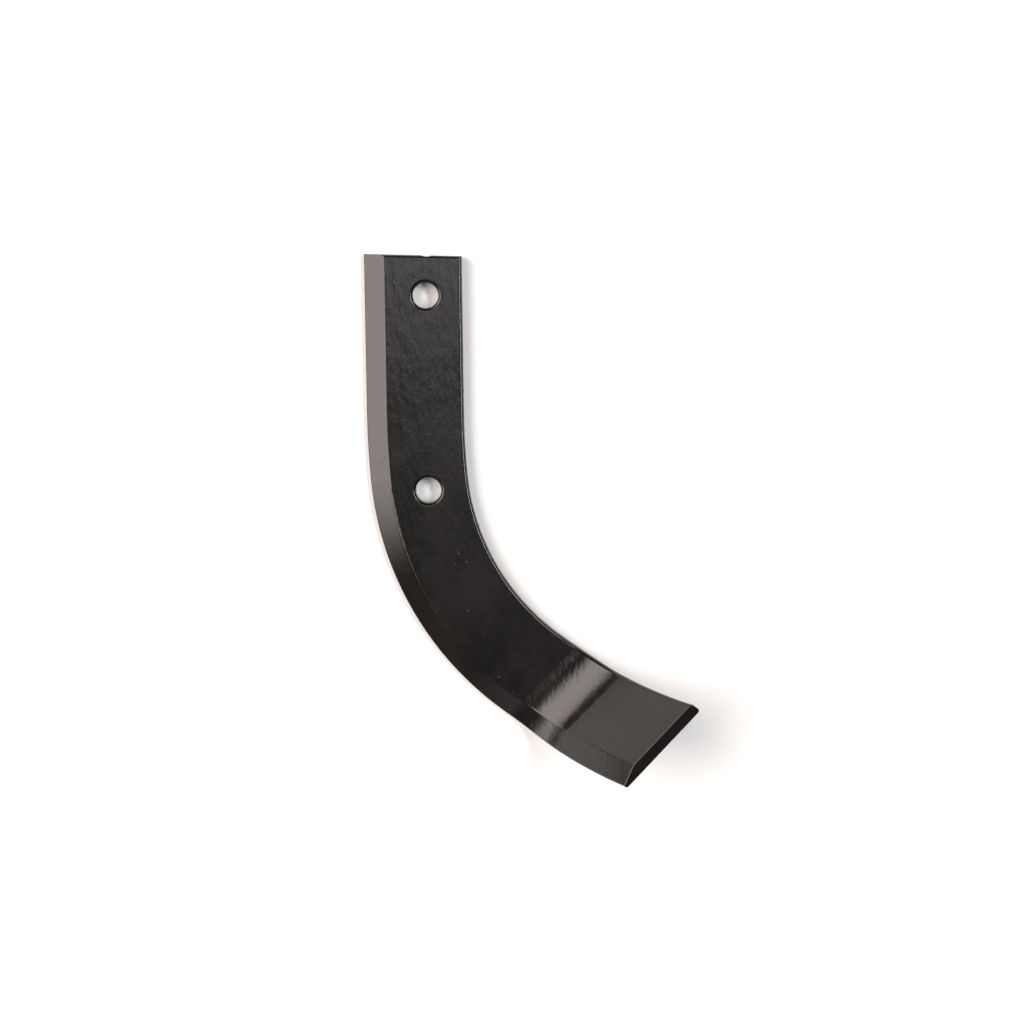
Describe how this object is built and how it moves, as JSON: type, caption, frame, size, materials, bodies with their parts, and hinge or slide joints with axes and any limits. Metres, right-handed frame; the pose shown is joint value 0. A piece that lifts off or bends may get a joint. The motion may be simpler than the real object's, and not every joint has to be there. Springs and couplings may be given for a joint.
{
  "type": "rotary tiller blade",
  "caption": "Black rotary tiller blade: a bevelled flat steel bar with bolt holes in its straight shank, curved edgewise like a sickle and folded flatwise near the tip.",
  "frame": {"origin": "on the back face of the shank, midway between the bolt holes", "axes": "+Z out of the bevelled face, +Y along the shank towards its mounting end, +X towards the inside of the curve"},
  "size_m": [0.1331, 0.2141, 0.0469],
  "materials": {
    "black_paint": "gloss black paint over forged steel"
  },
  "bodies": {
    "root": {"tiller_blade": "black_paint"}
  },
  "joints": []
}
